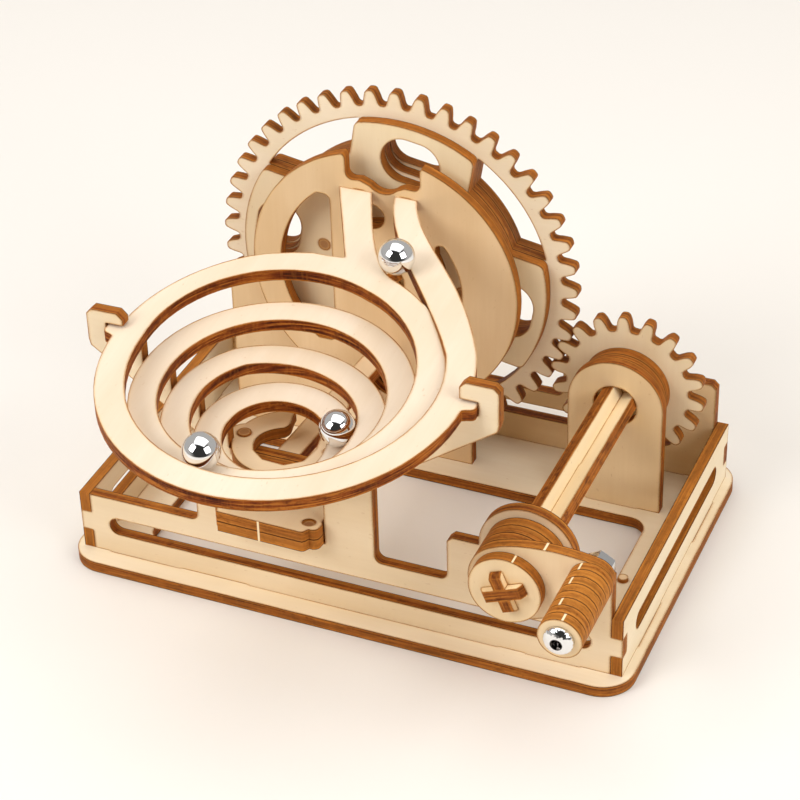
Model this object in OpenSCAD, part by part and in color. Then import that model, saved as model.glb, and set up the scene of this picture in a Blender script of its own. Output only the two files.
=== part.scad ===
// Hand crank marble run, a kit of laser-cut birch plywood.
// The crank turns a small gear, the small gear turns the big lifting wheel, and the wheel
// carries steel balls from the lower track to the top of the spiral funnel.
// X runs along the front, Y to the back, Z up; the origin is under the middle of the base plate.

/* [Plywood] */
// Thickness of every plywood sheet
ply = 3; // [2.8:0.1:3.2]
// Gap between a turning layer and the still layer next to it
run_gap = 0.25; // [0.15:0.05:0.3]

/* [Base] */
// Length of the base plate along the front
base_l = 150; // [146:1:160]
// Depth of the base plate
base_d = 97.4; // [94:0.2:104]
// Corner radius of the base plate
base_r = 8.5; // [4:0.5:12]
// Length over the side walls
box_l = 145; // [143:1:150]
// Depth over the front and back walls
box_d = 86; // [85.5:0.1:88]
// Height of the low walls above the base plate
wall_h = 17; // [15:0.5:18]
// Height of the long slots in the walls
slot_h = 5; // [3:0.5:6]
// Height of the slots' middle above the base plate
slot_z = 8.5; // [6:0.5:9]
// Height of the back wall's slot
back_slot_h = 4; // [3:0.5:5]
// Distance from a slot's end to the corner of the box
slot_end = 8; // [6:0.5:14]
// Distance from an end of the back wall's slot to the corner of the box
back_slot_end = 14.2; // [10:0.2:20]

/* [Wheel] */
// Distance of the wheel's axis from the middle, along the front
wheel_x = -14.8; // [-16:0.2:-13]
// Height of the wheel's axis
wheel_z = 57.6; // [56.5:0.1:58.5]
// Tooth module of both gears
tooth_mod = 2.14; // [2.12:0.01:2.16]
// Teeth on the big wheel
wheel_teeth = 45; // [44:1:46]
// Teeth on the small gear
pinion_teeth = 18; // [17:1:19]
// Direction from the wheel's axis down to the crank's axis, in degrees
drop_angle = 20.54; // [19:0.1:22]
// Radius of the wheel's ball pocket nearest to the axis
pocket_in = 26.4; // [25.6:0.2:27.4]
// Radius of the wheel's ball pocket furthest from the axis
pocket_out = 38.8; // [38.4:0.1:39.4]
// Half the width of a petal of the wheel
petal_w = 16.3; // [15:0.1:17]
// Radius of the wheel between its petals
valley_r = 33.8; // [33:0.1:34.5]
// Radius at the tip of a petal
petal_r = 42.2; // [41.8:0.1:42.6]
// Turn of the petals from upright, in degrees
petal_turn = -10; // [-14:1:-6]
// Radius of the wheel's hub washers
hub_r = 15.2; // [13:0.1:16]

/* [Crank] */
// Radius of the crank arm's big end and of its washers
crank_r = 10.2; // [9.5:0.1:10.6]
// Distance from the crank's axis to the grip's axis
throw = 21; // [20.5:0.1:23]
// Direction of the arm at rest, in degrees above level
arm_angle = 17.5; // [12:0.5:26]
// Radius of the grip's plywood rings
grip_r = 5.35; // [5:0.05:5.6]
// Number of rings on the grip
grip_n = 8; // [7:1:9]
// Thickness of one grip ring
ring_t = 2.7; // [2.5:0.05:3]
// Radius of the small gear's two front washers
front_washer_r = 11.6; // [10:0.1:12]
// Radius of the washer right behind the small gear
mid_washer_r = 13.8; // [12:0.1:14]
// Radius of the small gear's rear washer
rear_washer_r = 11.5; // [10:0.1:12]
// Radius of the disc at the crank's front end
end_disc_r = 9; // [8.6:0.1:9.8]
// Width of the crossed shaft strips
strip_w = 10.9; // [10.5:0.1:11.2]

/* [Funnel] */
// Radius of the funnel's outer ring
ring_r = 44.5; // [44:0.1:45]
// Distance of the funnel's middle from the middle of the base, along the front
ring_x = -9.9; // [-11:0.1:-9]
// Distance of the funnel's middle from the middle of the base, towards the back
ring_y = -47.4; // [-48:0.1:-47]
// Radius of the first turn of the spiral cut
cut_r = 37.3; // [37:0.1:37.8]
// Step of the spiral cut in one turn
pitch = 7.15; // [7:0.05:7.3]
// Drop of the spiral in each full turn
turn_drop = 6.2; // [6:0.1:6.4]
// Drop of the spiral where its first whole turn begins
first_drop = 6.5; // [6.3:0.1:6.8]
// Slope of the funnel sheet down to the front, as a fraction
funnel_slope = 0.117; // [0.11:0.001:0.122]
// Height of the funnel sheet where it meets the cover disc
rail_z = 83.35; // [83:0.05:83.6]

/* [Tracks and balls] */
// Diameter of the steel balls
ball_d = 9; // [8.6:0.1:9.2]
// Gap between a track's two rails
rail_gap = 6.2; // [5.8:0.1:6.4]
// Height of the lower track where it meets the cover disc
track_z = 21.1; // [20.8:0.1:21.4]
// Slope of the lower track down to the back, as a fraction
track_slope = 0.114; // [0.11:0.001:0.118]

/* [Hidden] */
$fn = 96;

// The origin lies under the middle of the run's outline, which the funnel carries forward
home_y = (ring_r - ring_y - base_d/2)/2;
module home() translate([0, home_y, 0]) children();

birch = [0.93, 0.82, 0.63];
birch_dark = [0.85, 0.70, 0.48];
steel = [0.8, 0.81, 0.83];

// Wall faces
box_x = box_l/2;
box_y = box_d/2;
wall_top = ply + wall_h;
finger_z1 = ply + wall_h/3;
finger_z2 = ply + 2*wall_h/3;
foot_h = ply;
foot_fit = 0.05;

// Layers behind the cover disc, from front to back
layer_rear = box_y - ply - run_gap - ply;
layer_back = layer_rear - ply;
layer_gear = layer_back - ply;
layer_petal = layer_gear - ply;
layer_hub = layer_petal - ply;
cover_y = layer_hub - run_gap - ply;
tower_y = cover_y + ply;
tower_t = ply;

// Gear geometry
gear_distance = tooth_mod*(wheel_teeth + pinion_teeth)/2;
crank_x = wheel_x + gear_distance*cos(drop_angle);
crank_z = wheel_z - gear_distance*sin(drop_angle);
wheel_pitch_r = tooth_mod*wheel_teeth/2;
tip_wheel = 1.35;
tip_pinion = 1.4;
root_depth = 2.85;
backlash = 0.36;
pressure = 20;
tooth_lead = 2;
window_out = petal_r - 0.2;

// Shafts
strip_fit = 0.02;
bearing_r = norm([strip_w/2, ply/2]) + 0.06;
shaft_turn = 22;
axle_turn = 35;
crank_front = -box_y - run_gap - 5*ply - 1.9;

// Peg size used for every plywood dowel
peg_d = 3.4;

// Funnel numbers
rail_y = cover_y;
kerf = 0.1;
spiral_from = -70;
spiral_to = 1150;
spiral_step = 5;
join_angle = 70;
sag_from = 585;
sag_len = 135;
back_sag = 1.9;
back_wide = 2.1;
hole_r = 12.2;
hook_mid = -10;
bracket_y = -box_y - ply;

// Crank layers in front of the front wall
wash_y = -box_y - run_gap - ply;
arm_y = wash_y - 3*ply;
end_y = arm_y - ply;
grip_l = grip_n*ring_t;
grip_y = arm_y - grip_l;
grip_x = crank_x + throw*cos(arm_angle);
grip_z = crank_z + throw*sin(arm_angle);
tip_r = 4.9;
bolt_d = 3;
bolt_head_d = 7.2;
bolt_head_h = 2.4;
nut_w = 5.5;
nut_h = 2.4;

// Upright sheet: the outline is drawn in X and Z and thickened in Y
module sheet_y(y, t = ply) { translate([0, y + t, 0]) rotate([90, 0, 0]) linear_extrude(t) children(); }
// Upright sheet: the outline is drawn in Y and Z and thickened in X
module sheet_x(x, t = ply) { translate([x, 0, 0]) rotate([90, 0, 90]) linear_extrude(t) children(); }

// Sloping sheet: the outline is drawn in X and Y, and the sheet rises towards the back by the slope
module slanted(slope, z0) {
  multmatrix([[1, 0, 0, 0], [0, 1, 0, 0], [0, slope, 1, z0], [0, 0, 0, 1]]) linear_extrude(ply) children();
}

module slot2d(x1, x2, h) {
  translate([x1 + h/2, -h/2]) square([x2 - x1 - h, h]);
  translate([x1 + h/2, 0]) circle(d = h);
  translate([x2 - h/2, 0]) circle(d = h);
}
module round_box2d(x1, y1, x2, y2, r) {
  translate([x1 + r, y1]) square([x2 - x1 - 2*r, y2 - y1]);
  translate([x1, y1 + r]) square([x2 - x1, y2 - y1 - 2*r]);
  for (x = [x1 + r, x2 - r], y = [y1 + r, y2 - r]) translate([x, y]) circle(r);
}
function flip(v) = [for (i = [len(v) - 1:-1:0]) v[i]];
function arc(c, r, a1, a2, n) = [for (i = [0:n]) let (a = a1 + (a2 - a1)*i/n) c + r*[cos(a), sin(a)]];
function bezier(p, n) = [for (i = [0:n]) let (t = i/n, s = 1 - t)
  s*s*s*p[0] + 3*s*s*t*p[1] + 3*s*t*t*p[2] + t*t*t*p[3]];
module cross2d(w, t, gap = 0) {
  square([w + gap, t + gap], center = true);
  square([t + gap, w + gap], center = true);
}

// Foot tabs of the upright sheets in the base plate: [middle, length]
front_feet = [[-55, 20], [7.5, 67], [55, 14]];
side_feet = [[-22, 18], [22, 18]];
tower_feet = [[-48, 14], [-12, 14]];
bracket_foot = [48, 13.8];

module feet2d(list) { for (f = list) translate([f[0] - f[1]/2, ply - foot_h]) square([f[1], foot_h + 1]); }
module foot_holes(list, y) {
  for (f = list) translate([f[0] - f[1]/2 - foot_fit, y - foot_fit, -1])
    cube([f[1] + 2*foot_fit, ply + 2*foot_fit, ply + 2]);
}
module foot_holes_x(list, x) {
  for (f = list) translate([x - foot_fit, f[0] - f[1]/2 - foot_fit, -1])
    cube([ply + 2*foot_fit, f[1] + 2*foot_fit, ply + 2]);
}

// Base plate with its one large opening
open_x1 = -box_x + 13.5;
open_x2 = box_x - 13.1;
open_y1 = -box_y + 8.5;
open_y2 = cover_y - 4.2;
open_r = 4.5;
base_peg_d = 2.6;
peg_x = open_x2 + base_peg_d/2 + 0.35;
peg_y = -7.9;
module base_plate() color(birch) home() difference() {
  linear_extrude(ply) round_box2d(-base_l/2, -base_d/2, base_l/2, base_d/2, base_r);
  translate([0, 0, -1]) linear_extrude(ply + 2) round_box2d(open_x1, open_y1, open_x2, open_y2, open_r);
  foot_holes(front_feet, -box_y);
  foot_holes(front_feet, box_y - ply);
  foot_holes_x(side_feet, -box_x);
  foot_holes_x(side_feet, box_x - ply);
  foot_holes(tower_feet, tower_y);
  foot_holes([bracket_foot], cover_y);
  translate([peg_x, peg_y, -1]) cylinder(d = base_peg_d, h = ply + 2);
}
module base_peg() color(birch) home() translate([peg_x, peg_y, 0]) cylinder(d = base_peg_d, h = ply + 1);

// The raised shoulders and round lobe that carry the crank shaft on the front and back walls
shoulder_x1 = crank_x - 20.4;
shoulder_x2 = box_x - ply;
shoulder_z = 33;
lobe_r = 12.2;
back_lobe_r = 9.5;
cham = 1.3;
fillet = 2;
back_slot_up = 1.7;
module shaft_lobe2d(r) {
  polygon([[shoulder_x1, ply + 1], [shoulder_x2, ply + 1], [shoulder_x2, shoulder_z - cham],
    [shoulder_x2 - cham, shoulder_z], [shoulder_x1 + cham, shoulder_z], [shoulder_x1, shoulder_z - cham]]);
  translate([crank_x, crank_z]) circle(r);
}
module fillet2d(x, z, side) {
  difference() {
    translate([side > 0 ? x : x - fillet, z - 0.01]) square([fillet, fillet]);
    translate([x + side*fillet, z + fillet]) circle(fillet);
  }
}
module band2d() {
  translate([-box_x + ply, ply]) square([box_l - 2*ply, wall_h]);
  translate([-box_x, finger_z1]) square([box_l, finger_z2 - finger_z1]);
}
module wall_slot2d(half, h = slot_h) translate([0, ply + slot_z + (h == slot_h ? 0 : back_slot_up)])
  slot2d(-half, half, h);

// Front wall: low band, raised middle that carries the funnel bracket, and the crank lobe
mid_x1 = -38.9;
mid_x2 = 9;
mid_top = 45.3;
module front2d() {
  difference() {
    union() {
      band2d();
      feet2d(front_feet);
      translate([mid_x1, ply]) square([mid_x2 - mid_x1, mid_top - ply]);
      shaft_lobe2d(lobe_r);
      fillet2d(mid_x1, wall_top, -1);
      fillet2d(mid_x2, wall_top, 1);
      fillet2d(shoulder_x1, wall_top, -1);
    }
    wall_slot2d(box_x - slot_end);
    translate([crank_x, crank_z]) circle(bearing_r);
    translate([track_x1 - 0.1, track_window_z]) square([track_x2 - track_x1 + 0.2, track_window_h]);
  }
}
module wall_front() color(birch) home() difference() {
  sheet_y(-box_y) front2d();
  tie_bar_solid();
}

// Back wall: low band, post behind the wheel, and the crank lobe
post_r = 12.2;
module wall_back() color(birch) home() sheet_y(box_y - ply) difference() {
  union() {
    band2d();
    feet2d(front_feet);
    shaft_lobe2d(back_lobe_r);
    fillet2d(shoulder_x1, wall_top, -1);
    translate([wheel_x - post_r, ply + 1]) square([2*post_r, wheel_z - ply - 1]);
    translate([wheel_x, wheel_z]) circle(post_r);
    fillet2d(wheel_x - post_r, wall_top, -1);
    fillet2d(wheel_x + post_r, wall_top, 1);
  }
  wall_slot2d(box_x - back_slot_end, back_slot_h);
  translate([crank_x, crank_z]) circle(bearing_r);
  translate([wheel_x, wheel_z]) circle(bearing_r);
}

module side2d() difference() {
  union() {
    translate([-box_y, ply]) square([box_d, wall_h]);
    feet2d(side_feet);
  }
  wall_slot2d(box_y - slot_end - 2);
  for (s = [-1, 1]) translate([s*(box_y - ply/2) - ply/2, finger_z1])
    square([ply, finger_z2 - finger_z1]);
}
module wall_left() color(birch) home() sheet_x(-box_x) side2d();
module wall_right() color(birch) home() sheet_x(box_x - ply) side2d();

// Tower plate behind the cover disc, cut away round the turning wheel
tower_x1 = -60.5;
tower_x2 = 8;
tower_top = 50;
cover_r = 36.7;
tower_lap = 5.7;
tower_round = 5;
entry_x = -13.6;
entry_z = 27;
entry_r = 7.5;
module tower_plate() color(birch) home() sheet_y(tower_y) difference() {
  union() {
    translate([tower_x1, ply]) square([tower_x2 - tower_x1, tower_top - tower_round - ply]);
    translate([tower_x1 + tower_round, ply]) square([tower_x2 - tower_x1 - tower_round, tower_top - ply]);
    translate([tower_x1 + tower_round, tower_top - tower_round]) circle(tower_round);
    feet2d(tower_feet);
  }
  translate([wheel_x, wheel_z]) circle(cover_r - tower_lap);
  translate([entry_x, entry_z]) circle(entry_r);
  translate([entry_x - entry_r, entry_z]) square([2*entry_r, entry_r]);
}

// Cover disc in front of the wheel: it lets the balls in at the bottom and out at the top
win_r = 28.8;
win_x = -29;
win_top = 80.2;
win_bottom = 36;
rwin_r = 21.6;
rwin_x = 1;
rwin_top = 71.2;
notch_x1 = -24.3;
notch_x2 = -4;
notch_z = 86;
notch_mid = -14.1;
tab_w = 3.1;
tab_l = -20.65;
tab_r = -7.85;
spy_d = 7;
spy_x = -17.5;
spy_z = 76.2;
module cover_notch2d() {
  top = wheel_z + cover_r + 1;
  // left shoulder, the dip between the rails, and the right shoulder
  polygon(concat(
    [[notch_x1 - 2.2, top]], arc([notch_x1 - 1.9, notch_z + 5.3], 1.9, 90, 0, 4),
    arc([notch_x1 + 1.9, notch_z + 1.7], 1.9, 180, 270, 4),
    [[notch_mid - 6.3, notch_z]], arc([notch_mid, notch_z + 2.2], 4.9, 222, 318, 8),
    [[notch_mid + 5.9, notch_z]], arc([notch_x2 - 1.9, notch_z + 1.7], 1.9, 270, 360, 4),
    arc([notch_x2 + 1.9, notch_z + 5.3], 1.9, 180, 90, 4), [[notch_x2 + 2.2, top]]));
}
module cover_disc() color(birch) home() difference() {
  sheet_y(cover_y) difference() {
    translate([wheel_x, wheel_z]) circle(cover_r);
    cover_notch2d();
    intersection() {
      translate([wheel_x, wheel_z]) circle(win_r);
      round_box2d(win_x - 30, win_bottom, win_x, win_top, 1.8);
    }
    intersection() {
      translate([wheel_x, wheel_z]) circle(rwin_r);
      round_box2d(rwin_x - 1.2, 2*wheel_z - rwin_top, rwin_x + 30, rwin_top, 1.2);
    }
    translate([entry_x, entry_z]) circle(entry_r);
    translate([wheel_x, wheel_z]) circle(bearing_r);
    translate([spy_x, spy_z]) circle(d = spy_d);
  }
  funnel_tabs();
  tie_bar_solid();
  track_tabs();
}

// Bracket that carries the crank shaft in front of the small gear
arch_r = 12.7;
module pinion_bracket() color(birch) home() sheet_y(cover_y) difference() {
  union() {
    translate([crank_x - arch_r, ply]) square([2*arch_r, crank_z - ply]);
    translate([crank_x, crank_z]) circle(arch_r);
    feet2d([bracket_foot]);
  }
  translate([crank_x, crank_z]) circle(bearing_r);
}

// Gear outline: true involute flanks, rounded tips and round roots
function involute(rb, a) = rb*[cos(a) + a*PI/180*sin(a), sin(a) - a*PI/180*cos(a)];
function spin(p, a) = [p[0]*cos(a) - p[1]*sin(a), p[0]*sin(a) + p[1]*cos(a)];
function roll_at(rb, r) = sqrt(max(0, r*r/(rb*rb) - 1))*180/PI;
function half_tooth(n, add) = let (
    rp = tooth_mod*n/2, rb = rp*cos(pressure), rt = rp + add, rr = rp - root_depth,
    at_pitch = involute(rb, roll_at(rb, rp)),
    skew = (PI*tooth_mod/2 - backlash)/2/rp*180/PI + atan2(at_pitch[1], at_pitch[0]),
    low = max(rb, rr + 0.9), top = rt - 0.45,
    flank = [for (i = [0:4]) let (r = low + (top - low)*i/4, q = involute(rb, roll_at(rb, r)))
      spin([q[0], -q[1]], skew)],
    tip_a = atan2(flank[4][1], flank[4][0]), root_a = atan2(flank[0][1], flank[0][0]),
    edge = 180/n)
  concat([rr*[cos(edge), sin(edge)], rr*[cos(root_a*0.45 + edge*0.55), sin(root_a*0.45 + edge*0.55)],
    (rr + 0.35)*[cos(root_a*0.8 + edge*0.2), sin(root_a*0.8 + edge*0.2)]],
    flank, [(rt - 0.08)*[cos(tip_a*0.62), sin(tip_a*0.62)], [rt, 0]]);
function gear_points(n, add, turn) = let (h = half_tooth(n, add), m = len(h))
  [for (k = [0:n - 1]) let (a = turn + k*360/n)
    each concat([for (i = [1:m - 1]) spin([h[i][0], -h[i][1]], a)],
      [for (i = [m - 2:-1:0]) spin(h[i], a)])];
module gear2d(n, add, turn) polygon(gear_points(n, add, turn));

module petals2d() {
  u = sqrt((petal_r - 2)*(petal_r - 2) - (petal_w - 2)*(petal_w - 2));
  circle(valley_r);
  for (k = [0:3]) rotate(petal_turn + 90*k) {
    intersection() {
      circle(petal_r);
      translate([0, -petal_w + 2]) square([petal_r + 1, 2*petal_w - 4]);
    }
    translate([0, -petal_w]) square([u, 2*petal_w]);
    for (s = [-1, 1]) translate([u, s*(petal_w - 2)]) circle(2);
  }
}
module pocket2d(r1) {
  h = pocket_out - r1;
  for (k = [0:3]) rotate(petal_turn + 90*k) translate([(pocket_out + r1)/2, 0]) rotate(90)
    slot2d(-pocket_l/2, pocket_l/2, h);
}
pocket_l = 16;
pocket_step = 1.1;
peg_circle = 19.5;
module wheel_peg_holes2d() {
  for (k = [0:3]) rotate(petal_turn + 90*k) translate([peg_circle, 0]) circle(d = peg_d);
}
module at_wheel(y, t = ply) sheet_y(y, t) translate([wheel_x, wheel_z]) children();
module axle_cut2d() rotate(axle_turn) cross2d(strip_w, ply, strip_fit);

module wheel_petals() color(birch) home() at_wheel(layer_petal) difference() {
  petals2d();
  pocket2d(pocket_in);
  wheel_peg_holes2d();
  axle_cut2d();
}
module wheel_gear() color(birch) home() at_wheel(layer_gear) difference() {
  gear2d(wheel_teeth, tip_wheel, -drop_angle - tooth_lead);
  difference() {
    circle(window_out);
    circle(valley_r);
    for (a = [0, 90]) rotate(petal_turn + a)
      translate([-petal_r, -petal_w]) square([2*petal_r, 2*petal_w]);
  }
  pocket2d(pocket_in + pocket_step);
  wheel_peg_holes2d();
  axle_cut2d();
}
module wheel_back() color(birch) home() at_wheel(layer_back) difference() {
  petals2d();
  pocket2d(pocket_in + 2*pocket_step);
  wheel_peg_holes2d();
  axle_cut2d();
}
module wheel_hub_front() color(birch) home() at_wheel(layer_hub) difference() { circle(hub_r); axle_cut2d(); }
module wheel_hub_rear() color(birch) home() at_wheel(layer_rear) difference() { circle(hub_r); axle_cut2d(); }
module wheel_pegs() color(birch_dark) home() at_wheel(layer_petal, 3*ply)
  for (k = [0:3]) rotate(petal_turn + 90*k) translate([peg_circle, 0]) circle(d = peg_d - 0.02);

// Two strips slotted half and half make one crossed shaft
module strip(turn, y1, y2, slot_front, tip = 0) {
  mid = (y1 + y2)/2;
  w = strip_w/2;
  rotate([0, -turn, 0]) difference() {
    // The front corners are cut off by the width of the tip
    translate([0, 0, -ply/2]) linear_extrude(ply)
      polygon(concat([[-w + tip, y1], [w - tip, y1]], tip == 0 ? [] : [[w, y1 + 1.5*tip]],
        [[w, y2], [-w, y2]], tip == 0 ? [] : [[-w, y1 + 1.5*tip]]));
    translate([-ply/2, slot_front ? y1 - 1 : mid, -ply]) cube([ply, (y2 - y1)/2 + 1, 2*ply]);
  }
}
axle_y1 = cover_y - 1;
axle_y2 = box_y + 1;
module wheel_axle_a() color(birch_dark) home() translate([wheel_x, 0, wheel_z])
  strip(axle_turn, axle_y1, axle_y2, true);
module wheel_axle_b() color(birch_dark) home() translate([wheel_x, 0, wheel_z])
  strip(axle_turn + 90, axle_y1, axle_y2, false);
module crank_shaft_a() color(birch_dark) home() translate([crank_x, 0, crank_z])
  strip(shaft_turn, crank_front, box_y + 1, false, 0.8);
module crank_shaft_b() color(birch_dark) home() translate([crank_x, 0, crank_z])
  strip(shaft_turn + 90, crank_front, box_y + 1, true, 0.8);

// Small gear and its washers on the crank shaft
pinion_phase = 180 - drop_angle + tooth_lead*wheel_teeth/pinion_teeth + 180/pinion_teeth;
module at_crank(y, t = ply) sheet_y(y, t) translate([crank_x, crank_z]) children();
module shaft_cut2d() rotate(shaft_turn) cross2d(strip_w, ply, strip_fit);
module pinion_gear() color(birch) home() at_crank(layer_gear) difference() {
  gear2d(pinion_teeth, tip_pinion, pinion_phase);
  shaft_cut2d();
}
module washer(y, r) color(birch) home() at_crank(y) difference() { circle(r); shaft_cut2d(); }
module pinion_washer_1() washer(layer_hub, front_washer_r);
module pinion_washer_2() washer(layer_petal, front_washer_r);
module pinion_washer_3() washer(layer_back, mid_washer_r);
module pinion_washer_4() washer(layer_rear, rear_washer_r);
module crank_washer_1() washer(wash_y, crank_r);
module crank_washer_2() washer(wash_y - ply, crank_r);
module crank_washer_3() washer(wash_y - 2*ply, crank_r);
module crank_end_disc() washer(end_y, end_disc_r);

// Pear-shaped arm: a large and a small round end, joined by sides that swell out a little
module pear2d(r1, r2, d) {
  a = 100;
  b = 60;
  p = r1*[cos(a), sin(a)];
  q = [d, 0] + r2*[cos(b), sin(b)];
  side = bezier([p, p + 0.42*d*[sin(a), -cos(a)], q - 0.28*d*[sin(b), -cos(b)], q], 16);
  polygon(concat(arc([0, 0], r1, a, 360 - a, 40), [for (i = [1:15]) [side[i][0], -side[i][1]]],
    arc([d, 0], r2, -b, b, 24), [for (i = [15:-1:1]) side[i]]));
}
module crank_arm() color(birch) home() at_crank(arm_y) difference() {
  rotate(arm_angle) pear2d(crank_r, tip_r, throw);
  shaft_cut2d();
  translate(throw*[cos(arm_angle), sin(arm_angle)]) circle(d = bolt_d);
}

// Grip: plywood rings turning on a bolt with a domed head in front and a nut behind the arm
ring_gap = 0.08;
module at_grip(y) translate([grip_x, y, grip_z]) rotate([-90, 0, 0]) children();
module grip_rings() color(birch_dark) home() at_grip(grip_y) difference() {
  for (k = [0:grip_n - 1]) translate([0, 0, k*ring_t]) cylinder(r = grip_r, h = ring_t - ring_gap);
  translate([0, 0, -1]) cylinder(d = bolt_d + 0.1, h = grip_l + 2);
}
module grip_bolt() color(steel) home() at_grip(grip_y) difference() {
  union() {
    translate([0, 0, -ring_gap - 0.6]) cylinder(d = bolt_head_d, h = 0.6);
    translate([0, 0, -ring_gap - bolt_head_h]) rotate_extrude() polygon(concat([[0, bolt_head_h - 0.6]],
      [for (a = [0:15:90]) [bolt_head_d/2*cos(a), (bolt_head_h - 0.6)*(1 - sin(a))]]));
    translate([0, 0, -ring_gap - 0.3]) cylinder(d = bolt_d, h = grip_l + ply + nut_h + 0.5);
  }
  translate([0, 0, -ring_gap - bolt_head_h - 1]) cylinder(d = 2.9, h = 2.4, $fn = 6);
}
module grip_nut() color(steel) home() at_grip(arm_y + ply) difference() {
  cylinder(d = nut_w/cos(30), h = nut_h, $fn = 6);
  translate([0, 0, -1]) cylinder(d = bolt_d, h = nut_h + 2);
}

// The spiral cut in the funnel sheet is made of half circles that shrink by half a step each
function cut_i(c) = floor(c/180);
function cut_mid(c) = [ring_x - (cut_i(c) % 2 == 0 ? 0 : pitch/2), ring_y];
function cut_rad(c) = cut_r - cut_i(c)*pitch/2;
function cut_point(c, off) = cut_mid(c) + (cut_rad(c) + off)*[cos(-c), sin(-c)];
function sheet_z(y) = rail_z - funnel_slope*(rail_y - y);
// The second turn sags a little more behind the middle
function sag(c) = c > sag_from && c < sag_from + sag_len ? back_sag*sin(180*(c - sag_from)/sag_len) : 0;
function drop(c) = c < 180 ? first_drop*(c - spiral_from)/(180 - spiral_from)
  : first_drop + turn_drop*(c - 180)/360 + sag(c);
function inner_point(c) = let (p = cut_point(c + 360, kerf), m = [ring_x - pitch/2, ring_y], d = norm(p - m))
  c + 360 >= 1260 || d < hole_r ? m + (p - m)*hole_r/d : p;

// Flat part of the funnel sheet, drawn in plan: outer ring, both rails
rail_l1 = -26.1;
rail_l2 = -17.1;
rail_r1 = rail_l2 + rail_gap;
rail_r2 = -4.8;
// Where the outer ring narrows towards the left rail: [direction, how much narrower]
shoulder = [[120, 0.3], [112, 0.8], [105, 1.1], [99, 2], [94.2, 2]];
module sheet_plan() {
  polygon(flip(concat(
    bezier([[rail_r2, rail_y], [0.5, 6], [17, -2], [ring_x, ring_y] + ring_r*[cos(25), sin(25)]], 14),
    arc([ring_x, ring_y], ring_r, 22, -234, 64),
    [for (q = shoulder) [ring_x, ring_y] + (ring_r - q[1])*[cos(q[0]), sin(q[0])]],
    [[rail_l1, rail_y]],
    bezier([[rail_l2, rail_y], [-13, 12], [-6, -5], cut_point(-join_angle, 0)], 12),
    [cut_point(360 - join_angle, 0)],
    [for (c = [360 - join_angle - 5:-5:180]) cut_point(c, back_wide*sin(180*(c - 180)/(180 - join_angle)))],
    [for (c = [175:-5:-20]) cut_mid(0) + cut_r*[cos(-c), sin(-c)]],
    bezier([[ring_x, ring_y] + cut_r*[cos(25), sin(25)], [13, -13], [-6.5, 4], [rail_r1, rail_y]], 14))));
  funnel_ears2d();
}
ear_reach = 47.4;
module funnel_ears2d() {
  ear = concat([[43, -41.5], [ear_reach - 0.8, -41.8]], arc([ear_reach - 1.2, -47], 1.2, 20, -80, 4),
    [[45.6, -48.4], [44.4, -48.9]], bezier([[43.6, -49.8], [43, -51.5], [43, -55], [42.2, -61]], 5));
  translate([ring_x, 0]) polygon(flip(ear));
  translate([ring_x, 0]) polygon([for (p = ear) [-p[0], p[1]]]);
}
// Lays a plan outline on the sloping sheet
module on_slope(z_top) slanted(funnel_slope, z_top - ply - funnel_slope*rail_y) children();
module funnel_tabs() on_slope(rail_z) for (x = [tab_l, tab_r])
  translate([x - tab_w/2, rail_y - 0.5]) square([tab_w, ply + 0.5]);

// Spiral band hanging from the flat sheet, as one swept solid
spiral_cs = [for (c = [spiral_from:spiral_step:spiral_to]) c];
function band_z(c, p) = sheet_z(p[1]) - drop(c);
module spiral_band() {
  n = len(spiral_cs);
  pts = [for (c = spiral_cs) let (o = cut_point(c, -kerf), i = inner_point(c)) each [
    [o[0], o[1], band_z(c, o)], [i[0], i[1], band_z(c, i)],
    [i[0], i[1], band_z(c, i) - ply], [o[0], o[1], band_z(c, o) - ply]]];
  sides = [for (k = [0:n - 2], j = [0:3]) let (a = 4*k + j, b = 4*k + (j + 1) % 4)
    each [[a, b + 4, b], [a, a + 4, b + 4]]];
  polyhedron(pts, concat([[0, 2, 3], [0, 1, 2]], sides,
    [[4*n - 4, 4*n - 2, 4*n - 3], [4*n - 4, 4*n - 1, 4*n - 2]]));
}

// Bracket with a hook at each end: it stands on the front wall and holds the funnel
function seat(c, y) = sheet_z(y) - drop(c) - ply - seat_fit;
seat_fit = 0.05;
hook_out = ring_r + 8.1;
hook_in = hook_out - 9.7;
hook_top = 80.8;
left_hook_top = 79.3;
hook_bottom = 68.9;
hook_gap = 0.1;
vee_low = 40;
vee_slope = 0.7125;
module bracket2d() {
  y = bracket_y;
  flat = sheet_z(y) - ply - seat_fit;
  roof = sheet_z(y + ply) + 0.4;
  diag_x = hook_out - 0.4 - (hook_bottom - vee_low)/vee_slope;
  function right(x) = x - hook_mid;
  // Steps on each side: distance from the middle and height of the seat under each turn
  right_steps = [for (k = [0:3]) [right(cut_point(360*k, 0)[0]) + 0.6, seat(360*k, y)]];
  left_steps = [for (k = [0:3]) [-right(cut_point(180 + 360*k, 0)[0]) + 1.2, seat(180 + 360*k, y)]];
  function outer(s, top) = [[diag_x*s, vee_low], [(hook_out - 0.4)*s, hook_bottom], [hook_out*s, 70.7],
    [hook_out*s, top - 1.4], [(hook_out - 1.3)*s, top - 0.1], [(hook_in + 1.5)*s, top],
    [hook_in*s, top - 1.5], [hook_in*s, roof], [(ear_reach + 0.2)*s, roof], [(ear_reach + 0.2)*s, flat]];
  function stairs(st, s) = [for (k = [0:len(st) - 1]) each [
    [st[k][0]*s, k == 0 ? flat : st[k - 1][1]], [st[k][0]*s, st[k][1]]]];
  translate([hook_mid, 0]) polygon(concat(
    outer(1, hook_top), stairs(right_steps, 1), [[11, right_steps[3][1]], [11, mid_top]],
    flip(concat(outer(-1, left_hook_top), stairs(left_steps, -1),
      [[-14, left_steps[3][1]], [-14, mid_top]]))));
}
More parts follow.
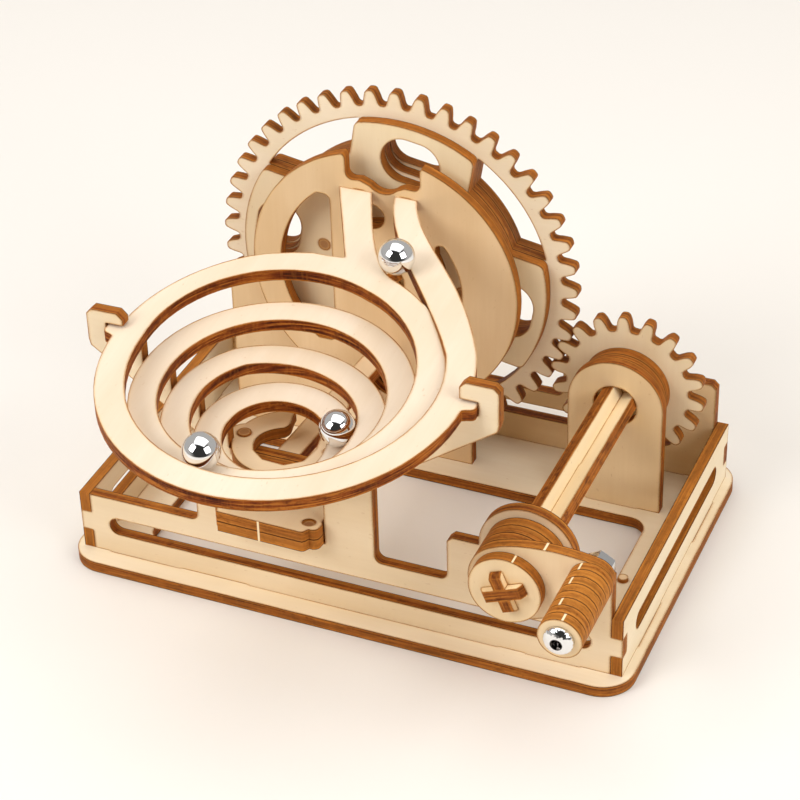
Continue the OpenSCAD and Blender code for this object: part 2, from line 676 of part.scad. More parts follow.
module funnel_bracket() color(birch) home() difference() {
  sheet_y(bracket_y) bracket2d();
  catch_solid();
  translate([track_x1 - 0.1, bracket_y - 1, track_window_z])
    cube([track_x2 - track_x1 + 0.2, ply + 2, track_window_h]);
  tie_bar_solid();
}

// Plate under the funnel's hole that turns the balls on to the lower track
catch_z = mid_top + ply;
catch_x = -14.1;
catch_y = -40.4;
catch_peg = 11.3;
module catch_plan() {
  translate([catch_x, catch_y]) difference() {
    union() {
      circle(r = 13.4);
      for (s = [-1, 1]) translate([s*catch_peg, 0]) circle(r = 4);
    }
    // S-shaped gap that the balls fall through
    polygon(concat(bezier([[-3.6, 14], [-3.4, 8.5], [-1.6, 8], [-3.1, 5.4]], 6),
      bezier([[-4.4, 4.6], [-7.5, 2.5], [-9, -1], [-6.3, -5.6]], 6),
      [[-2.6, -8.3], [3, -8.6], [6.8, -5.5], [7.6, 0], [6, 8.6], [4, 14]]));
    for (s = [-1, 1]) translate([s*catch_peg, 0]) circle(d = peg_d);
  }
}
module catch_solid() translate([0, 0, catch_z - ply]) linear_extrude(ply) catch_plan();
module catch_plate() color(birch) home() catch_solid();
module catch_pegs() color(birch_dark) home() for (s = [-1, 1])
  translate([catch_x + s*catch_peg, catch_y, catch_z - ply]) cylinder(d = peg_d - 0.02, h = ply + 0.4);

// Tie bar from the front wall back to the cover disc, with a round paddle and a peg
tie_x = -14.6;
tie_w = 6.1;
tie_front = -50;
tie_slope = 0.1;
tie_peg_y = -13.5;
tie_z = mid_top - 0.01;
module tie_bar_solid() {
  slanted(-tie_slope, tie_z - ply + tie_slope*tie_front) difference() {
    union() {
      translate([tie_x - tie_w/2, tie_front]) square([tie_w, cover_y + ply - tie_front]);
      translate([tie_x, tie_peg_y]) circle(r = 4.4);
    }
    translate([tie_x, tie_peg_y]) circle(d = peg_d);
  }
}
module tie_bar() color(birch) home() tie_bar_solid();
tie_peg_z = tie_z - ply - tie_slope*(tie_peg_y - tie_front) - 1;
module tie_peg() color(birch_dark) home() translate([tie_x, tie_peg_y, tie_peg_z])
  cylinder(d = peg_d - 0.02, h = ply + 0.8);

// Lower track: two sheets in front, rails that slope down to the hole in the cover disc
track_x1 = -31.9;
track_x2 = -4.2;
track_front = -48.7;
track_window_z = track_z + track_slope*(cover_y + box_y - ply) - 2*ply - 0.05;
track_window_h = 17;
track_peg = [-7.6, -44.2];
module on_track(z_top) slanted(-track_slope, z_top - ply + track_slope*cover_y) children();
module track_front2d(back) {
  f = track_front;
  polygon(concat([[track_x1, back], [track_x1, f + 2.4], [track_x1 + 1, f + 1.4], [track_x1 + 1.5, f],
    [-8.5, f - 0.4]], arc([-8, f + 0.8], 1.2, -90, -20, 3), [[-6.4, f + 1.6]],
    arc([-5.9, f + 3.2], 1.7, -80, 0, 4),
    [[track_x2, f + 5], [track_x2 - 0.6, f + 5.8], [track_x2 - 0.6, back]]));
}
track_l = wheel_x - rail_gap/2;
track_r = wheel_x + rail_gap/2;
track_rail_w = 6;
module track_upper() color(birch) home() difference() {
  on_track(track_z) difference() {
    union() {
      track_front2d(-30);
      for (x = [track_l - track_rail_w, track_r]) translate([x, -31]) square([track_rail_w, 31 + cover_y]);
      for (x = [track_l - track_rail_w/2, track_r + track_rail_w/2])
        translate([x - tab_w/2, cover_y - 1]) square([tab_w, 1 + ply]);
    }
    translate([track_l, -36]) square([rail_gap, 40 + cover_y]);
    translate([(track_l + track_r)/2, -36]) circle(d = rail_gap);
    translate(track_peg) circle(d = peg_d);
  }
}
module track_tabs() on_track(track_z) for (x = [track_l - track_rail_w/2, track_r + track_rail_w/2])
  translate([x - tab_w/2, cover_y - 0.5]) square([tab_w, ply + 1]);
module track_lower() color(birch) home() on_track(track_z - ply) difference() {
  track_front2d(-39);
  translate(track_peg) circle(d = peg_d);
}
track_peg_z = track_z + track_slope*(cover_y - track_peg[1]);
module track_pegs() color(birch_dark) home()
  translate([track_peg[0], track_peg[1], track_peg_z - 2*ply + 0.3])
    cylinder(d = peg_d - 0.02, h = 2*ply - 1);

module funnel() color(birch) home() {
  on_slope(rail_z) sheet_plan();
  spiral_band();
}

// Balls: each one is placed where it touches its track
ball_r = ball_d/2;
module ball(p) color(steel) home() translate(p) sphere(ball_r);
ball_fit = 0.12;
ball_1_c = 100.7;
ball_1_p = cut_point(ball_1_c, -4.65);
module ball_1() ball([ball_1_p[0], ball_1_p[1], band_z(ball_1_c, ball_1_p) + ball_r + ball_fit]);
ball_2_c = 1066;
ball_2_p = cut_point(ball_2_c, -4.4);
module ball_2() ball([ball_2_p[0], ball_2_p[1], band_z(ball_2_c, ball_2_p) + ball_r + ball_fit]);
ball_3_p = [1, -5.6];
module ball_3() ball([ball_3_p[0], ball_3_p[1], sheet_z(ball_3_p[1]) + 3.6]);

base_plate();
base_peg();
wall_front();
wall_back();
wall_left();
wall_right();
tower_plate();
cover_disc();
pinion_bracket();
wheel_petals();
wheel_gear();
wheel_back();
wheel_hub_front();
wheel_hub_rear();
wheel_pegs();
wheel_axle_a();
wheel_axle_b();
pinion_gear();
pinion_washer_1();
pinion_washer_2();
pinion_washer_3();
pinion_washer_4();
crank_shaft_a();
crank_shaft_b();
crank_washer_1();
crank_washer_2();
crank_washer_3();
crank_arm();
crank_end_disc();
grip_rings();
grip_bolt();
grip_nut();
funnel();
funnel_bracket();
catch_plate();
catch_pegs();
tie_bar();
tie_peg();
track_upper();
track_lower();
track_pegs();
ball_1();
ball_2();
ball_3();
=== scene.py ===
import bpy
import math
from mathutils import Matrix, Vector


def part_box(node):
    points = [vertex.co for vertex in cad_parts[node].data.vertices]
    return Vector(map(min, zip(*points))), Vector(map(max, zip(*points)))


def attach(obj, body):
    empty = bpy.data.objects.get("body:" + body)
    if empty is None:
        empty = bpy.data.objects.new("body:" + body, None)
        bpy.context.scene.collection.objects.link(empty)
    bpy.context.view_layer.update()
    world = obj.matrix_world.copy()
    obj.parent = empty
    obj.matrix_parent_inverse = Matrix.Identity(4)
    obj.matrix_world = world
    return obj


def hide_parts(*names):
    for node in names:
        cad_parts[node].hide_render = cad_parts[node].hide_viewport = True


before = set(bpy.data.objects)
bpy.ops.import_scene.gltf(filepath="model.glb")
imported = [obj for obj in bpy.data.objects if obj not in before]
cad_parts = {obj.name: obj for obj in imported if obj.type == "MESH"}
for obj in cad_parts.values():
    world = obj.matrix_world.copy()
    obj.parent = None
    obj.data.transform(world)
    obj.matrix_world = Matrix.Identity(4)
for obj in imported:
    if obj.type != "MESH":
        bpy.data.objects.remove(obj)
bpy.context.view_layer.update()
bpy.ops.object.select_all(action="DESELECT")

# Camera: a long lens looks down on the run from the front right, slightly rolled, as in the
# photograph. The middle of the base plate's underside falls on base_pixel, which is counted in
# the square picture from its top left corner.
picture_width = 800
picture_middle = picture_width / 2
focal_pixels = 2537.2017
base_pixel = (409.9013, 519.2753)
base_middle = Vector((0, 0.0216, 0))
camera_turn = math.radians(23.5916)
camera_rise = math.radians(34.6783)
camera_roll = math.radians(-1.7661)
camera_distance = 0.6629685
sensor_width = 36
back = Vector((math.sin(camera_turn) * math.cos(camera_rise),
               -math.cos(camera_turn) * math.cos(camera_rise), math.sin(camera_rise)))
level_right = Vector((math.cos(camera_turn), math.sin(camera_turn), 0))
level_up = back.cross(level_right)
right = level_right * math.cos(camera_roll) + level_up * math.sin(camera_roll)
up = level_up * math.cos(camera_roll) - level_right * math.sin(camera_roll)
off_right = (base_pixel[0] - picture_middle) / focal_pixels * camera_distance
off_up = (picture_middle - base_pixel[1]) / focal_pixels * camera_distance
place = base_middle + back * camera_distance - right * off_right - up * off_up
bpy.ops.object.camera_add(location=place)
camera = bpy.context.object
camera.matrix_world = Matrix(((right.x, up.x, back.x, place.x),
                              (right.y, up.y, back.y, place.y),
                              (right.z, up.z, back.z, place.z),
                              (0, 0, 0, 1)))
camera.data.sensor_width = sensor_width
camera.data.lens = focal_pixels / picture_width * sensor_width
camera.data.clip_start, camera.data.clip_end = 0.01, 20
bpy.context.scene.camera = camera


# Studio: cream paper that runs to the horizon, one big soft panel overhead, a smaller panel on
# each side of the camera, and an even pale surround that fills the shadows and is dark only
# behind the camera. A paintbox adds the nodes of one finish and joins them up.
class Paintbox:
    def __init__(self, owner):
        owner.use_nodes = True
        self.nodes, self.links = owner.node_tree.nodes, owner.node_tree.links

    def put(self, socket, value):
        if isinstance(value, bpy.types.NodeSocket):
            self.links.new(value, socket)
        elif socket.type == "RGBA":
            socket.default_value = (*value, 1)
        else:
            socket.default_value = value

    def node(self, kind, sockets, **settings):
        made = self.nodes.new("ShaderNode" + kind)
        for setting, value in settings.items():
            setattr(made, setting, value)
        for socket, value in sockets.items():
            self.put(made.inputs[socket], value)
        return made

    def sums(self, operation, a, b=0.0, c=0.0):
        return self.node("Math", {0: a, 1: b, 2: c}, operation=operation).outputs[0]

    def dot(self, a, b):
        return self.node("VectorMath", {0: a, 1: b}, operation="DOT_PRODUCT").outputs["Value"]

    def remap(self, source, low, high, to_low=0.0, to_high=1.0, **settings):
        sockets = {0: source, 1: low, 2: high, 3: to_low, 4: to_high}
        return self.node("MapRange", sockets, **settings).outputs["Result"]

    def mix(self, factor, a, b):
        return self.node("Mix", {0: factor, 6: a, 7: b}, data_type="RGBA").outputs[2]

    # Lays a tint over a colour where a pattern goes from low to high, up to a strength
    def over(self, colour, tint, pattern, low, high, strength=1.0):
        return self.mix(self.remap(pattern, low, high, 0.0, strength), colour, tint)

    def bump(self, height, strength, distance):
        sockets = {"Height": height, "Strength": strength, "Distance": distance}
        return self.node("Bump", sockets).outputs["Normal"]


paper_cream = (0.885, 0.842, 0.785)
paper_width, paper_drop = 12, 0.0002
bpy.ops.mesh.primitive_plane_add(size=paper_width, location=(0, 0, -paper_drop))
paper = bpy.context.object
paper.name = "paper_floor"
paper_finish = bpy.data.materials.new("paper")
paper_box = Paintbox(paper_finish)
paper_shader = paper_box.nodes["Principled BSDF"]
paper_box.put(paper_shader.inputs["Base Color"], paper_cream)
paper_box.put(paper_shader.inputs["Roughness"], 0.9)
paper_box.put(paper_shader.inputs["Specular IOR Level"], 0.1)
paper.data.materials.append(paper_finish)

panels_aim = Vector((0, 0.02, 0.04))
for panel_name, spot, width, depth, watts in (("overhead_panel", (0.0, 0.10, 1.25), 1.5, 1.2, 8.5),
                                              ("right_panel", (1.10, -0.38, 0.75), 0.8, 0.8, 9.2),
                                              ("left_panel", (-0.80, -0.92, 0.95), 0.8, 0.9, 13.1)):
    bpy.ops.object.light_add(type="AREA", location=spot)
    panel = bpy.context.object
    panel.name = panel_name
    panel.data.shape = "RECTANGLE"
    panel.data.size, panel.data.size_y = width, depth
    panel.data.energy = watts
    panel.rotation_euler = (Vector(spot) - panels_aim).to_track_quat("Z", "Y").to_euler()

surround_white, horizon_white = (1, 0.97, 0.93), (0.96, 0.94, 0.90)
surround_strength, gloom_strength = 0.50, 0.04
world = bpy.data.worlds.new("surround")
world_box = Paintbox(world)
sky = world_box.node("TexCoord", {}).outputs["Generated"]
strength = world_box.remap(world_box.dot(sky, back), 0.35, 0.80, surround_strength, gloom_strength,
                           interpolation_type="SMOOTHSTEP")
surround = world_box.nodes["Background"]
world_box.put(surround.inputs["Color"], surround_white)
world_box.put(surround.inputs["Strength"], strength)
horizon = world_box.node("Background", {"Color": horizon_white})
seen = world_box.node("LightPath", {}).outputs["Is Camera Ray"]
either = world_box.node("MixShader", {0: seen, 1: surround.outputs[0], 2: horizon.outputs[0]})
world_box.put(world_box.nodes["World Output"].inputs["Surface"], either.outputs[0])
bpy.context.scene.world = world

# Base plate and the small dowel that stands on it: 3 mm birch plywood cut out with a laser.
# The faces stay cream with fine grain, the cut edges are burnt brown with the plies showing,
# and a thin scorched line runs along every outline.
sideways, backwards, upwards = (1, 0, 0), (0, 1, 0), (0, 0, 1)


# Open face: slow cream mottling, long fine fibres, and few small brown flecks
def face_colour(paint, cream, mottle, fibre, fleck):
    pale = tuple(min(1, part * 1.05) for part in cream)
    warm = tuple(part * share for part, share in zip(cream, (0.965, 0.925, 0.86)))
    fibre_brown = tuple(part * share for part, share in zip(cream, (0.86, 0.76, 0.62)))
    fleck_brown = (0.60, 0.36, 0.16)
    face = paint.over(warm, pale, mottle, 0.35, 0.65)
    face = paint.over(face, fibre_brown, fibre, 0.35, 0.65, 0.08)
    return paint.over(face, fleck_brown, fleck, 0.73, 0.80, 0.30)


# Cut edge: thin dark and light plies that run with the sheet, scorched unevenly
def edge_colour(paint, edge_light, ply, hatch, patch, char):
    charcoal, umber, amber = (0.030, 0.004, 0.001), (0.205, 0.038, 0.004), (0.50, 0.170, 0.023)
    patch_brown, hatch_amber = (0.35, 0.088, 0.009), (0.48, 0.160, 0.024)
    orange, char_brown = (0.60, 0.225, 0.034), (0.075, 0.012, 0.002)
    edge = paint.over(charcoal, umber, ply, 0.40, 0.50)
    edge = paint.over(edge, amber, ply, 0.52, 0.63)
    edge = paint.over(edge, patch_brown, patch, 0.38, 0.70, 0.45)
    edge = paint.over(edge, hatch_amber, hatch, 0.50, 0.72, 0.25)
    if edge_light != 1.0:
        glow = paint.sums("MULTIPLY", edge_light - 1.0, paint.remap(ply, 0.30, 0.70, 0.55, 1.0))
        edge = paint.mix(glow, edge, orange)
    return paint.over(edge, char_brown, char, 0.50, 0.66, 0.72)


# Layers of a sheet of known thickness: the middle ply is darker, the two outer ones are golden,
# and each sheet of a stack has its own tone, with a dark seam to the next
def layered(paint, edge, sheets, board, layer, hatch):
    core_brown, outer_gold = (0.15, 0.026, 0.003), (0.62, 0.245, 0.040)
    sheet_gold, seam_black = (0.60, 0.235, 0.036), (0.05, 0.009, 0.001)
    start, pitch = sheets
    level = paint.sums("MULTIPLY_ADD", layer, 1 / pitch, -start / pitch)
    level = paint.sums("ADD", level, paint.sums("MULTIPLY_ADD", hatch, 0.10, -0.05))
    from_core = paint.sums("ABSOLUTE", paint.sums("SUBTRACT", paint.sums("FRACT", level), 0.5))
    edge = paint.over(edge, core_brown, from_core, 0.20, 0.08, 0.22)
    edge = paint.over(edge, outer_gold, from_core, 0.28, 0.38, 0.42)
    count = paint.sums("FLOOR", paint.sums("MULTIPLY_ADD", layer, 1 / pitch, board - start / pitch))
    tone = paint.node("TexWhiteNoise", {"W": count}, noise_dimensions="1D").outputs["Value"]
    edge = paint.mix(paint.sums("MULTIPLY", tone, 0.36), edge, sheet_gold)
    return paint.over(edge, seam_black, from_core, 0.405, 0.46, 0.90)


# How the surface bends near a point: 1 on open wood, and less towards a corner of the sheet
def corner_bend(paint):
    corner_reach = 0.0014
    rounded = paint.node("Bevel", {"Radius": corner_reach}, samples=8).outputs["Normal"]
    return paint.dot(rounded, paint.node("NewGeometry", {}).outputs["True Normal"])


# Scorched outline of a face: a thin dark line at the corner with a golden halo beside it
def scorched(paint, face, bend, patch):
    halo_gold, line_brown = (0.88, 0.57, 0.22), (0.31, 0.092, 0.010)
    uneven = paint.remap(patch, 0.32, 0.60, 0.65, 1.0)
    halo = paint.sums("MULTIPLY", paint.remap(bend, 0.995, 0.86), paint.sums("MULTIPLY", uneven, 0.80))
    line = paint.sums("MULTIPLY", paint.remap(bend, 0.895, 0.83), uneven)
    return paint.mix(line, paint.mix(halo, face, halo_gold), line_brown)


# Mark left by a bridge that held the piece in its sheet: a small pale stroke across the edge
def bridge_mark(paint, edge, point, middle, half_size):
    stub_cream = (0.93, 0.76, 0.48)
    reaches = []
    for axis, centre, half in zip((sideways, backwards, upwards), middle, half_size):
        off = paint.sums("ABSOLUTE", paint.sums("SUBTRACT", paint.dot(point, axis), centre))
        reaches.append(paint.sums("DIVIDE", off, half))
    reach = paint.sums("MAXIMUM", paint.sums("MAXIMUM", reaches[0], reaches[1]), reaches[2])
    return paint.over(edge, stub_cream, reach, 1.15, 0.85)


# One plywood finish. The broad faces look along facing, the fibres run along grain, and board
# is a number that shifts the pattern, as if cut from another place. edge_light above 1 makes
# the cut edges more orange. sheets holds where the first sheet starts along facing and how
# thick each is, and each mark is the middle and the half size of a bridge's stroke.
def plywood(name, facing, grain, board, cream=(0.88, 0.755, 0.56), edge_light=1.0, sheets=None, marks=()):
    corner_highlight_gold = (0.58, 0.22, 0.034)
    facing, grain = Vector(facing).normalized(), Vector(grain).normalized()
    finish = bpy.data.materials.new(name)
    paint = Paintbox(finish)
    coords = paint.node("TexCoord", {})
    point, normal = coords.outputs["Object"], coords.outputs["Normal"]
    layer = paint.dot(point, facing)
    axes = (paint.dot(point, grain), layer, paint.dot(point, facing.cross(grain)))

    def noise(scale, stretch, detail, roughness):
        spot = paint.node("CombineXYZ", {})
        for socket, axis, share in zip(spot.inputs, axes, stretch):
            paint.put(socket, paint.sums("MULTIPLY_ADD", axis, share * scale, board * (3.7 + share)))
        sockets = {"Vector": spot.outputs[0], "Scale": 1.0, "Detail": detail, "Roughness": roughness}
        return paint.node("TexNoise", sockets).outputs["Fac"]

    mottle = noise(70, (0.25, 1, 1), 3, 0.55)
    fibre = noise(1300, (0.05, 1, 1), 2, 0.6)
    fleck = noise(1500, (0.40, 1, 1), 1, 0.4)
    ply = noise(1700, (0.03, 1, 0.03), 3, 0.75)
    hatch = noise(1500, (1, 0.12, 1), 2, 0.6)
    patch = noise(170, (1, 0.3, 1), 2, 0.5)
    char = noise(520, (0.7, 1.4, 0.7), 4, 0.7)

    bend = corner_bend(paint)
    face = scorched(paint, face_colour(paint, cream, mottle, fibre, fleck), bend, patch)
    edge = edge_colour(paint, edge_light, ply, hatch, patch, char)
    if sheets:
        edge = layered(paint, edge, sheets, board, layer, hatch)
    else:
        # painted highlight: without sheets, the cut edges turn golden towards their corners, as if the
        # rounded corners caught the light
        edge = paint.over(edge, corner_highlight_gold, bend, 0.93, 0.80, 0.50)
    for middle, half_size in marks:
        edge = bridge_mark(paint, edge, point, middle, half_size)

    shader = paint.nodes["Principled BSDF"]
    on_face = paint.sums("ABSOLUTE", paint.dot(normal, facing))
    paint.put(shader.inputs["Base Color"], paint.over(face, edge, on_face, 0.74, 0.66))
    paint.put(shader.inputs["Specular IOR Level"], 0.12)
    paint.put(shader.inputs["Roughness"], paint.remap(fibre, 0.3, 0.7, 0.52, 0.70))
    relief = paint.sums("ADD", fibre, paint.sums("MULTIPLY", ply, 1.2))
    paint.put(shader.inputs["Normal"], paint.bump(relief, 0.18, 0.00006))
    return finish


def dress(finish, *names):
    for name in names:
        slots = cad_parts[name].data.materials
        for index in range(len(slots)):
            slots[index] = finish


low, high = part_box("base_plate")
dress(plywood("ply_base", upwards, sideways, 0.3, cream=(0.90, 0.775, 0.58),
              sheets=(low[2], high[2] - low[2])),
      "base_plate")
dress(plywood("dowel_base", upwards, sideways, 0.9, cream=(0.86, 0.66, 0.42), edge_light=1.6),
      "base_peg")

# Walls: four upright sheets of 3 mm plywood, joined with fingers at the corners and standing in
# the base plate on foot tabs. The side walls' cut edges are painted a lighter orange all round,
# a painted highlight for the light that falls on their tops.
sheet = 0.003
# The back wall's face is a darker, more orange cream: painted shade for the shadow it stands in inside
# the box.
back_wall_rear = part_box("wall_back")[1][1]
dress(plywood("ply_back_wall", backwards, sideways, 1.1, cream=(0.86, 0.65, 0.39),
              sheets=(back_wall_rear - sheet, sheet)),
      "wall_back")
front_wall_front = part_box("wall_front")[0][1]
dress(plywood("ply_front_wall", backwards, sideways, 1.4, cream=(0.88, 0.71, 0.49), edge_light=1.1,
              sheets=(front_wall_front, sheet)),
      "wall_front")
# edge_light 1.2 paints the side walls' cut edges a lighter orange: painted light for the light on their
# tops
for name, board in (("wall_left", 2.2), ("wall_right", 2.9)):
    low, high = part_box(name)
    dress(plywood("ply_" + name, sideways, backwards, board, edge_light=1.2,
                  sheets=(low[0], high[0] - low[0])),
          name)

# Cover disc, the tower plate behind it and the small gear's bracket: upright sheets across the
# middle; the cover and the tower plate get a darker, more orange cream than the other sheets. The
# tower plate and the bracket stand in the base plate on foot tabs, and the bracket is in the cover's
# plane.
cover_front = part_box("cover_disc")[0][1]
dress(plywood("ply_cover", backwards, upwards, 3.1, cream=(0.83, 0.605, 0.36),
              sheets=(cover_front, sheet)),
      "cover_disc", "tower_plate")
dress(plywood("ply_bracket", backwards, upwards, 4.6, cream=(0.90, 0.695, 0.43),
              sheets=(cover_front, sheet)),
      "pinion_bracket")

# Wheel: three layers of plywood pegged together, petals in front and behind and the gear
# between them, with a round washer at each side of the hub.
hub_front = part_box("wheel_hub_front")[0][1]
dress(plywood("ply_wheel", backwards, upwards, 5.3, cream=(0.89, 0.735, 0.50),
              sheets=(hub_front, sheet)),
      "wheel_petals", "wheel_back", "wheel_hub_front", "wheel_hub_rear")
dress(plywood("ply_wheel_gear", backwards, sideways, 6.8, cream=(0.92, 0.78, 0.58),
              sheets=(hub_front, sheet)),
      "wheel_gear")
dress(plywood("dowel_wheel", backwards, upwards, 7.7, cream=(0.42, 0.21, 0.085)), "wheel_pegs")

# Shafts: two plywood strips slotted into each other make a cross. Their broad faces are cream
# and their long edges dark. Each strip is turned about the shaft by its own angle.
for name, turn in (("wheel_axle_a", 35), ("wheel_axle_b", 125),
                   ("crank_shaft_a", 22), ("crank_shaft_b", 112)):
    tilt = math.radians(turn)
    dress(plywood("ply_" + name, (-math.sin(tilt), 0, math.cos(tilt)), backwards, turn * 0.11,
                  cream=(0.90, 0.72, 0.46), edge_light=1.25),
          name)

# Small gear: one toothed sheet between two pairs of round washers, all threaded on the crank
# shaft, with its layers in line with the wheel's.
dress(plywood("ply_pinion", backwards, upwards, 8.4, cream=(0.89, 0.735, 0.50),
              sheets=(hub_front, sheet)),
      "pinion_gear", "pinion_washer_1", "pinion_washer_2", "pinion_washer_3", "pinion_washer_4")

# Crank: three round washers, the pear-shaped arm and the end disc, all 3 mm plywood threaded on
# the shaft, with lighter orange edges and a pale stub of a bridge on the arm and on the disc.
disc_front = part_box("crank_end_disc")[0][1]
disc_stub = ((0.0502, disc_front + sheet / 2, 0.0430), (0.00022, 0.0014, 0.0020))
arm_stub = ((0.0569, disc_front + sheet * 3 / 2, 0.0462), (0.00028, 0.0015, 0.0020))
dress(plywood("ply_crank", backwards, upwards, 9.5, cream=(0.86, 0.665, 0.42), edge_light=1.42,
              sheets=(disc_front, sheet), marks=(arm_stub, disc_stub)),
      "crank_washer_1", "crank_washer_2", "crank_washer_3", "crank_arm", "crank_end_disc")


# Grip: eight loose plywood rings on a steel bolt, four of them with a pale stub of a bridge.
# The bare solids are facets, so each piece that should look turned or polished is a welded copy
# with smooth shading in its place.
def smoothed(name, body, finish, angle=35):
    weld_distance = 0.0000005
    bpy.ops.object.select_all(action="DESELECT")
    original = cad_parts[name]
    original.select_set(True)
    bpy.context.view_layer.objects.active = original
    bpy.ops.object.duplicate()
    copy = bpy.context.object
    for tag in [tag for tag in copy.keys() if tag.startswith("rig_")]:
        del copy[tag]
    copy.name = name + "_smooth"
    copy.data.name = copy.name
    bpy.ops.object.mode_set(mode="EDIT")
    bpy.ops.mesh.select_all(action="SELECT")
    bpy.ops.mesh.remove_doubles(threshold=weld_distance)
    bpy.ops.object.mode_set(mode="OBJECT")
    bpy.ops.object.shade_smooth_by_angle(angle=math.radians(angle))
    copy.data.materials.clear()
    copy.data.materials.append(finish)
    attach(copy, body)
    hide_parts(name)


rings = 8
low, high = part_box("grip_rings")
ring = (high[1] - low[1]) / rings
ring_stubs = []
for number, stub_x, stub_z in ((0, 0.0689, 0.0454), (2, 0.0663, 0.0451),
                               (5, 0.0658, 0.0449), (7, 0.0661, 0.0448)):
    ring_stubs.append(((stub_x, low[1] + (number + 0.5) * ring, stub_z), (0.00026, ring * 0.46, 0.0020)))
smoothed("grip_rings", "grip",
         plywood("ply_grip", backwards, sideways, 10.7, cream=(0.86, 0.66, 0.42), edge_light=1.72,
                 sheets=(low[1], ring), marks=ring_stubs))

# Funnel: one sheet with a spiral cut, sprung down into a bowl, which slopes down to the front,
# and the upright bracket whose hooks hold its rim.
dress(plywood("ply_funnel", (0, -0.117, 1), backwards, 11.3, cream=(0.845, 0.705, 0.55)), "funnel")
hooks_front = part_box("funnel_bracket")[0][1]
dress(plywood("ply_hooks", backwards, sideways, 12.6, cream=(0.87, 0.725, 0.52),
              sheets=(hooks_front, sheet)),
      "funnel_bracket")

# Catch plate under the funnel with its two dowels, and the tie bar under it, which runs from
# the front wall to the cover disc and has a dowel of its own. All are plywood and birch dowel.
catch_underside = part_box("catch_plate")[0][2]
dress(plywood("ply_catch", upwards, sideways, 13.2, cream=(0.86, 0.66, 0.43),
              sheets=(catch_underside, sheet)),
      "catch_plate")
dress(plywood("ply_tie", (0, 0.1, 1), backwards, 14.8, cream=(0.86, 0.66, 0.43)), "tie_bar")
dress(plywood("dowel_catch", upwards, sideways, 15.5, cream=(0.45, 0.22, 0.09)), "catch_pegs", "tie_peg")

# Lower track: two sheets pinned together at the front, with two rails that slope to the wheel.
# The underside is measured square to the slope. A pale stub runs down the front end.
track_facing = (0, 0.114, 1)
track_underside = 0.02285
track_stub = ((-0.0191, -0.0271, 0.0258), (0.00028, 0.0020, 0.0050))
dress(plywood("ply_track", track_facing, backwards, 16.1, cream=(0.91, 0.75, 0.52), edge_light=1.35,
              sheets=(track_underside, sheet), marks=(track_stub,)),
      "track_upper", "track_lower")
dress(plywood("dowel_track", track_facing, sideways, 17.4, cream=(0.40, 0.19, 0.08)), "track_pegs")


# Steel: three polished bearing balls, and the bolt of the grip, which is plated and a little
# less bright, with painted shade in its socket. Fine scratches and a thin film of handling break up the
# polish.
def steel(name, tone, roughness, socket_axis=None):
    finish = bpy.data.materials.new(name)
    paint = Paintbox(finish)
    point = paint.node("TexCoord", {}).outputs["Object"]
    film = paint.node("TexNoise", {"Vector": point, "Scale": 420, "Detail": 3}).outputs["Fac"]
    scratch = paint.node("TexNoise", {"Vector": point, "Scale": 2600}).outputs["Fac"]
    colour = paint.mix(film, (tone, tone, tone), (tone * 0.93, tone * 0.93, tone * 0.94))
    if socket_axis:
        # painted shade: a dark circle about the bolt's axis stands for the shade inside its socket
        socket_painted_shade, socket_radius, socket_blur = (0.045, 0.038, 0.034), 0.00142, 0.00155
        parts = paint.node("SeparateXYZ", {0: point})
        off_x = paint.sums("SUBTRACT", parts.outputs["X"], socket_axis[0])
        off_z = paint.sums("SUBTRACT", parts.outputs["Z"], socket_axis[1])
        off_squared = paint.sums("ADD", paint.sums("MULTIPLY", off_x, off_x),
                                 paint.sums("MULTIPLY", off_z, off_z))
        inside = paint.remap(off_squared, socket_radius ** 2, socket_blur ** 2, 1.0, 0.0)
        colour = paint.mix(inside, colour, socket_painted_shade)
    shader = paint.nodes["Principled BSDF"]
    paint.put(shader.inputs["Base Color"], colour)
    paint.put(shader.inputs["Metallic"], 1)
    paint.put(shader.inputs["Roughness"], paint.remap(film, 0.35, 0.70, roughness, roughness + 0.05))
    paint.put(shader.inputs["Normal"], paint.bump(scratch, 0.03, 0.00001))
    return finish


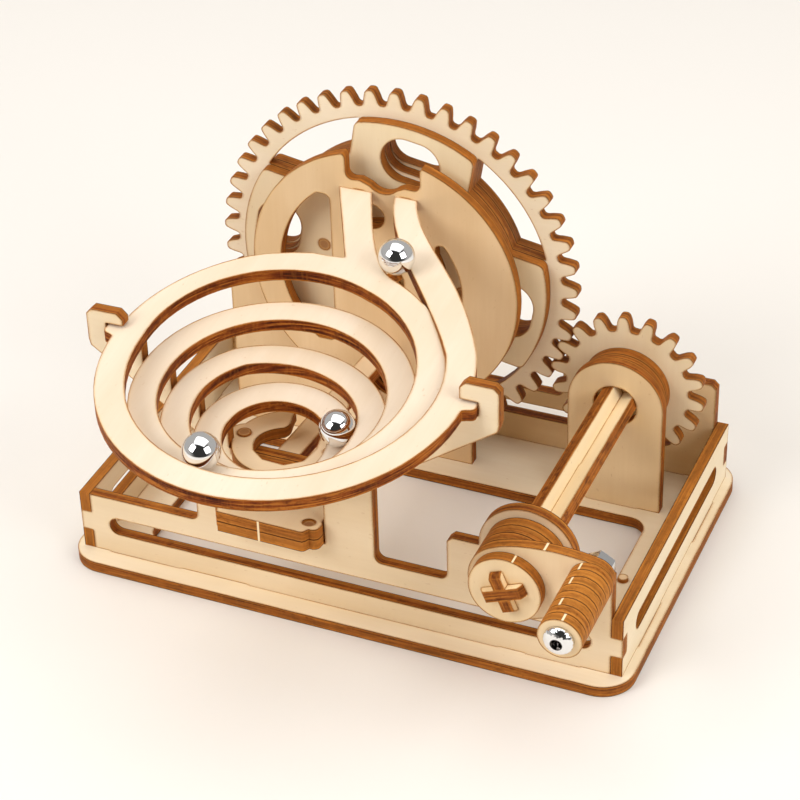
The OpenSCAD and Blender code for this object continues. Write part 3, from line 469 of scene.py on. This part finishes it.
ball_steel = steel("ball_steel", 0.86, 0.03)
for ball in ("ball_1", "ball_2", "ball_3"):
    smoothed(ball, ball, ball_steel, angle=60)
low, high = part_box("grip_nut")
axis_x, axis_z = (low[0] + high[0]) / 2, (low[2] + high[2]) / 2
bolt_steel = steel("bolt_steel", 0.84, 0.06, socket_axis=(axis_x, axis_z))
smoothed("grip_bolt", "crank", bolt_steel, angle=32)

# Nut behind the arm: a plated hexagon nut with its corners turned off, on the bolt's end. It
# starts as a six-sided bar, its edges are bevelled, and the two ends are inset to the bolt's
# hole and bridged.
nut_flat, nut_height, nut_bevel, bolt_radius = 0.0070, 0.0040, 0.00035, 0.00151
nut_end_area = 0.00001
bpy.ops.object.select_all(action="DESELECT")
bpy.ops.mesh.primitive_cylinder_add(vertices=6, radius=nut_flat / 2 / math.cos(math.radians(30)),
                                    depth=nut_height,
                                    location=(axis_x, low[1] + nut_height / 2, axis_z),
                                    rotation=(math.radians(90), 0, 0))
nut = bpy.context.object
nut.name = "grip_nut_plated"
bpy.ops.object.transform_apply(location=True, rotation=True, scale=True)
bpy.ops.object.mode_set(mode="EDIT")
bpy.ops.mesh.select_mode(type="FACE")
bpy.ops.mesh.select_all(action="SELECT")
bpy.ops.mesh.bevel(offset=nut_bevel, segments=2, affect="EDGES")
bpy.ops.mesh.select_all(action="DESELECT")
bpy.ops.object.mode_set(mode="OBJECT")
for face in nut.data.polygons:
    face.select = abs(face.normal.y) > 0.99 and face.area > nut_end_area
bpy.ops.object.mode_set(mode="EDIT")
bpy.ops.mesh.inset(thickness=nut_flat / 2 - nut_bevel - bolt_radius, use_boundary=True)
bpy.ops.mesh.bridge_edge_loops()
bpy.ops.mesh.select_all(action="SELECT")
bpy.ops.mesh.normals_make_consistent(inside=False)
bpy.ops.object.mode_set(mode="OBJECT")
bpy.ops.object.shade_smooth_by_angle(angle=math.radians(25))
nut.data.materials.append(steel("nut_steel", 0.66, 0.08))
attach(nut, "crank")
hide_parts("grip_nut")

bpy.context.scene.view_settings.view_transform = "Standard"
